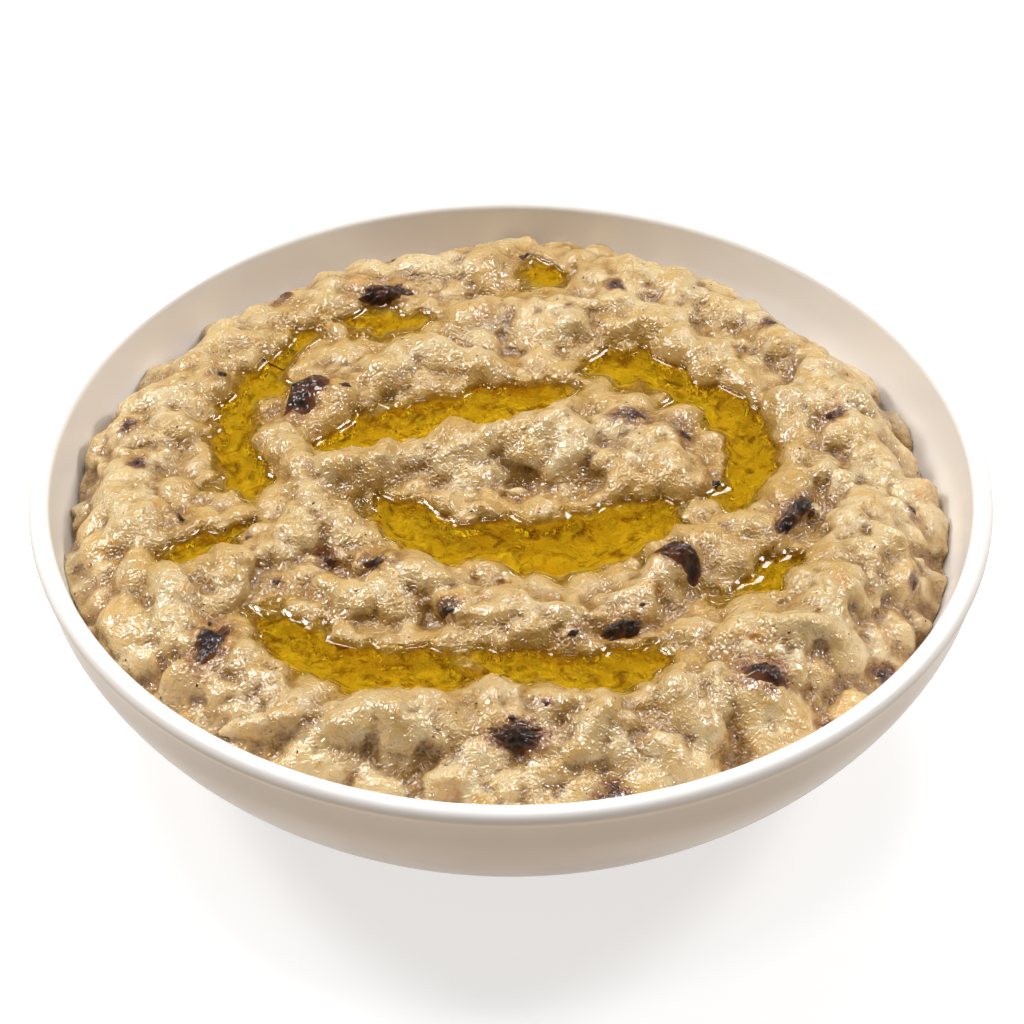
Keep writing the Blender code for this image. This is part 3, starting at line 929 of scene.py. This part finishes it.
def dip_finish():
    f = Finish("dip")
    crease, hollow, low = f.attribute("crease"), f.attribute("hollow"), f.attribute("low")
    under, from_oil, scorch = f.attribute("under_oil"), f.attribute("from_oil"), f.attribute("scorch")
    patches = f.noise(9 * MM, 3.0, 0.55)
    clumps = f.noise(3.2 * MM, 3.0, 0.6, warp=0.6)
    grain = f.noise(0.9 * MM, 3.0, 0.6)

    # Pale flesh, tanner and browner as painted shade where it lies low and in hollows and creases, with dull
    # translucent patches between the lumps, kept to the hollows as painted shade
    flesh = f.mix(f.remap(patches, 0.38, 0.62), tone(214, 185, 131), tone(200, 160, 90))
    flesh = f.mix(f.remap(f.noise(4.5 * MM, 1.0), 0.5, 0.66, 0.0, 0.65), flesh, tone(222, 203, 162))
    flesh = f.mix(f.remap(clumps, 0.54, 0.76, 0.0, 0.8), flesh, tone(180, 136, 68))
    # Painted shade: browner and darker in hollows and low places, with some of the brown standing for oil
    # gathered there
    sunk = f.math("ADD", f.math("MULTIPLY", hollow, 0.8), f.math("MULTIPLY", low, 0.3))
    sunk = f.math("ADD", sunk, f.math("MULTIPLY", f.math("SUBTRACT", clumps, 0.5), 0.4))
    flesh = f.mix(f.remap(sunk, -0.2, 0.8), flesh, tone(146, 100, 8))
    # Random duller patches, kept to the hollows as painted shade
    dull_patch_and_shade = f.math("MULTIPLY", f.remap(f.noise(8 * MM, 2.0, 0.5), 0.50, 0.66), f.remap(sunk, -0.2, 0.5))
    flesh = f.mix(f.math("MULTIPLY", dull_patch_and_shade, 0.3), flesh, tone(138, 93, 38))
    # Painted shade: darker brown in the fine creases between the lumps
    flesh = f.mix(f.remap(crease, 0.03, 0.16, 0.0, 0.75), flesh, tone(106, 62, 13))
    orange = f.math("MULTIPLY", f.remap(f.noise(11 * MM, 2.0, 0.5), 0.66, 0.78), 0.6)
    flesh = f.mix(orange, flesh, tone(195, 127, 51))
    fleck = f.remap(f.cells(1.7 * MM), 0.10, 0.19, 1.0, 0.0)
    fleck = f.math("MULTIPLY", fleck, f.remap(f.noise(2.4 * MM, 1.0), 0.56, 0.66))
    flesh = f.mix(f.math("MULTIPLY", fleck, 0.7), flesh, tone(113, 77, 34))
    flesh = f.mix(f.remap(grain, 0.3, 0.75, 0.0, 0.2), flesh, tone(216, 190, 138))
    burnt = f.math("MULTIPLY", scorch, f.remap(clumps, 0.3, 0.62))
    flesh = f.mix(f.remap(burnt, 0.05, 0.5, 0.0, 0.7), flesh, tone(142, 80, 32))
    flesh = f.mix(f.remap(burnt, 0.35, 0.9, 0.0, 0.85), flesh, tone(66, 39, 24))

    # Golden where oil soaks it, pale and mottled under the oil, which brings its own colour
    flesh = f.mix(f.remap(from_oil, 0.0, 12.0, 0.55, 0.0), flesh, tone(184, 140, 56))
    flesh = f.mix(f.remap(from_oil, 0.0, 3.0, 0.45, 0.0), flesh, tone(181, 136, 36))
    swirl = f.noise(3.6 * MM, 4.0, 0.6, warp=0.8)
    bed = f.mix(f.remap(swirl, 0.46, 0.70), tone(250, 222, 150), tone(160, 114, 40))
    flesh = f.mix(f.remap(under, 0.1, 1.2), flesh, bed)

    # Wet, with small beads and wrinkles that are stronger in the hollows than on the crests
    bead = f.remap(f.cells(0.9 * MM), 0.05, 0.42, 1.0, 0.0)
    bead = f.math("MULTIPLY", bead, f.remap(f.noise(2.0 * MM, 2.0, 0.6), 0.42, 0.58))
    wrinkle = f.noise(1.0 * MM, 0.7, 0.5, warp=1.2)
    busy = f.remap(f.math("ADD", sunk, f.math("MULTIPLY", patches, 0.8)), -0.1, 0.8, 0.7, 1.1)
    relief = f.math("MULTIPLY", f.math("ADD", f.math("MULTIPLY", bead, 0.6), wrinkle), busy)
    normal = f.bump(relief, 0.46 * MM, 1.0)
    return f.principled(
        Base_Color=flesh, Roughness=f.remap(grain, 0.3, 0.7, 0.5, 0.6), Normal=normal,
        Specular_IOR_Level=0.1, Coat_Weight=1.0, Coat_Roughness=0.08, Coat_IOR=1.85, Coat_Normal=normal,
        Subsurface_Weight=0.45, Subsurface_Radius=(1.0, 0.82, 0.35), Subsurface_Scale=1.8 * MM)


def oil_finish():
    f = Finish("oil")
    swirl = f.noise(3.0 * MM, 4.0, 0.6, warp=0.8)
    depth = f.math("ADD", f.attribute("depth"), f.math("MULTIPLY", f.math("SUBTRACT", swirl, 0.5), 1.2))
    colour = f.mix(f.remap(depth, 0.1, 1.5), (1.0, 0.93, 0.5, 1), (0.97, 0.72, 0.02, 1))
    ripple = f.bump(f.noise(6 * MM, 1.0), 0.2 * MM, 0.2)
    return f.principled(Base_Color=colour, Roughness=0.02, IOR=1.47, Transmission_Weight=1.0, Normal=ripple)


def char_finish():
    f = Finish("charred_skin")
    grain = f.noise(0.8 * MM, 4.0, 0.65)
    blot = f.noise(2.5 * MM, 3.0, 0.6)
    skin = f.mix(f.remap(blot, 0.4, 0.65), tone(32, 18, 12), tone(92, 52, 28))
    skin = f.mix(f.remap(grain, 0.35, 0.7, 0.0, 0.5), skin, tone(24, 16, 14))
    rim = f.remap(f.math("ADD", f.attribute("edge"), f.math("MULTIPLY", blot, 0.3)), 0.85, 1.2, 0.0, 0.85)
    skin = f.mix(rim, skin, tone(122, 70, 32))
    normal = f.bump(grain, 0.35 * MM, 0.9)
    return f.principled(Base_Color=skin, Roughness=f.remap(grain, 0.3, 0.7, 0.5, 0.7), Normal=normal,
                        Specular_IOR_Level=0.15, Coat_Weight=0.7, Coat_Roughness=0.05, Coat_IOR=1.5)


def glaze_finish():
    f = Finish("glaze")
    clouds = f.noise(22 * MM, 3.0, 0.5)
    glaze = f.mix(clouds, tone(254, 251, 247), tone(250, 245, 239))
    # Painted shade: the outside of the white bowl turns tan just under the lip and darker still towards the
    # foot
    outside = f.attribute("outside")
    wall = f.mix(clouds, tone(182, 161, 137), tone(175, 153, 129))
    glaze = f.mix(outside, glaze, wall)
    shaded_low_wall = f.mix(clouds, tone(152, 131, 108), tone(145, 123, 100))
    glaze = f.mix(f.math("SUBTRACT", outside, 1.0), glaze, shaded_low_wall)
    pin = f.remap(f.cells(3.5 * MM), 0.05, 0.09, 1.0, 0.0)
    pin = f.math("MULTIPLY", pin, f.remap(f.noise(9 * MM, 1.0), 0.6, 0.7))
    glaze = f.mix(f.math("MULTIPLY", pin, 0.25), glaze, tone(196, 178, 156))
    normal = f.bump(f.noise(14 * MM, 1.0), 0.1 * MM, 0.2)
    return f.principled(Base_Color=glaze, Roughness=f.remap(clouds, 0.3, 0.7, 0.3, 0.4), Normal=normal,
                        Coat_Weight=0.25, Coat_Roughness=0.12)


def floor_finish():
    f = Finish("floor")
    return f.principled(Base_Color=f.mix(f.noise(0.5, 2.0), (0.52, 0.52, 0.52, 1), (0.54, 0.54, 0.54, 1)),
                        Roughness=0.9, Emission_Color=(1, 1, 1, 1), Emission_Strength=0.66)


# ---------------------------------------------------------------- the pieces

glaze, dip_look, oil_look, char_look = glaze_finish(), dip_finish(), oil_finish(), char_finish()

dress(make_bowl(), glaze, "glaze", "bowl")

dip = make_dip()
dip_points, dip_normals = coordinates(dip.data), normals_of(dip.data)
dip_tree = tree_of(dip.data)
heights = top_heights(dip_points, dip_normals)
wet_surfaces = flooded(heights)

scraps, scrap_burns = charred_scraps(dip_tree, dip_points, dip_normals)
for node, scrap in scraps.items():
    dress(scrap, char_look, "charred_skin", node)
specks, speck_burns = scorched_spots(dip_tree, dip_points, dip_normals)
dress(specks, char_look, "charred_skin")

mark_dip(dip.data, wet_surfaces, scrap_burns + speck_burns)
dress(dip, dip_look, "dip", "dip")
for node, (wet, surface) in wet_surfaces.items():
    dress(make_oil(node.replace("oil_", "oil_pool_"), wet, surface, heights), oil_look, "oil", node)


# ---------------------------------------------------------------- floor, light and camera


def lamp(name, place, size, power, mirrored=True):
    light = bpy.data.lights.new(name, "AREA")
    light.shape = "RECTANGLE"
    light.size, light.size_y = size
    light.energy = power
    made = bpy.data.objects.new(name, light)
    made.location = place
    made.visible_glossy = mirrored
    made.rotation_euler = (Vector((0, 0, RIM)) - made.location).to_track_quat("-Z", "Y").to_euler()
    bpy.context.scene.collection.objects.link(made)


def make_floor():
    reach, steps = 4.0, 16
    line = np.linspace(-reach, reach, steps + 1)
    x, y = np.meshgrid(line, line, indexing="ij")
    corners = sheet_faces(np.arange(x.size).reshape(x.shape), np.ones(x.shape, bool))
    floor = build("floor", np.column_stack([x.ravel(), y.ravel(), np.full(x.size, -0.2 * MM)]), corners)
    floor.data.materials.append(floor_finish())
    return floor


def make_camera():
    """The view from the front, 40 degrees down, with the rim near the middle of the frame."""
    elevation = math.radians(40)
    rim_radius = 83.5 * MM
    distance = 8 * rim_radius
    below_rim, aside = 6.6 * MM, 0.2 * MM
    camera = bpy.data.cameras.new("camera")
    camera.sensor_width = 36
    camera.lens = 132.7
    made = bpy.data.objects.new("camera", camera)
    toward = Vector((0, -math.cos(elevation), math.sin(elevation)))
    upward = Vector((0, math.sin(elevation), math.cos(elevation)))
    rim = Vector((0, 0, RIM))
    aim = rim - upward * below_rim + Vector((aside, 0, 0))
    made.location = rim + toward * distance
    made.rotation_euler = (aim - made.location).to_track_quat("-Z", "Y").to_euler()
    bpy.context.scene.collection.objects.link(made)
    bpy.context.scene.camera = made


def make_world():
    """Brightest at the horizon, and dim higher up, where level oil would mirror it to the camera."""
    world = bpy.data.worlds.new("studio")
    world.use_nodes = True
    tree = world.node_tree
    split = tree.nodes.new("ShaderNodeSeparateXYZ")
    tree.links.new(tree.nodes.new("ShaderNodeTexCoord").outputs["Generated"], split.inputs[0])
    grade = tree.nodes.new("ShaderNodeValToRGB")
    stops = grade.color_ramp.elements
    stops[0].position, stops[0].color = 0.0, (0.3, 0.3, 0.3, 1)
    stops[1].position, stops[1].color = 1.0, (0.1, 0.1, 0.1, 1)
    for position, value in ((0.2, 0.18), (0.4, 0.04), (0.8, 0.04)):
        stops.new(position).color = (value, value, value, 1)
    tree.links.new(split.outputs["Z"], grade.inputs[0])
    tree.links.new(grade.outputs[0], tree.nodes["Background"].inputs["Color"])
    tree.nodes["Background"].inputs["Strength"].default_value = 1.0
    bpy.context.scene.world = world


make_floor()
lamp("soft_light", (0.0, -0.25, 1.1), (1.1, 1.1), 1.3, mirrored=False)
lamp("key_light", (-0.4, 0.3, 1.05), (0.32, 0.32), 4.5)
lamp("back_light", (0.3, 0.65, 0.88), (0.24, 0.24), 2.8)
lamp("left_light", (-0.66, 0.2, 0.7), (0.24, 0.24), 4.7)
lamp("right_light", (0.66, 0.15, 0.7), (0.24, 0.24), 3.9)
lamp("top_light", (0.12, -0.12, 1.18), (0.2, 0.2), 1.6)
make_world()
bpy.context.scene.view_settings.view_transform = "Standard"
make_camera()
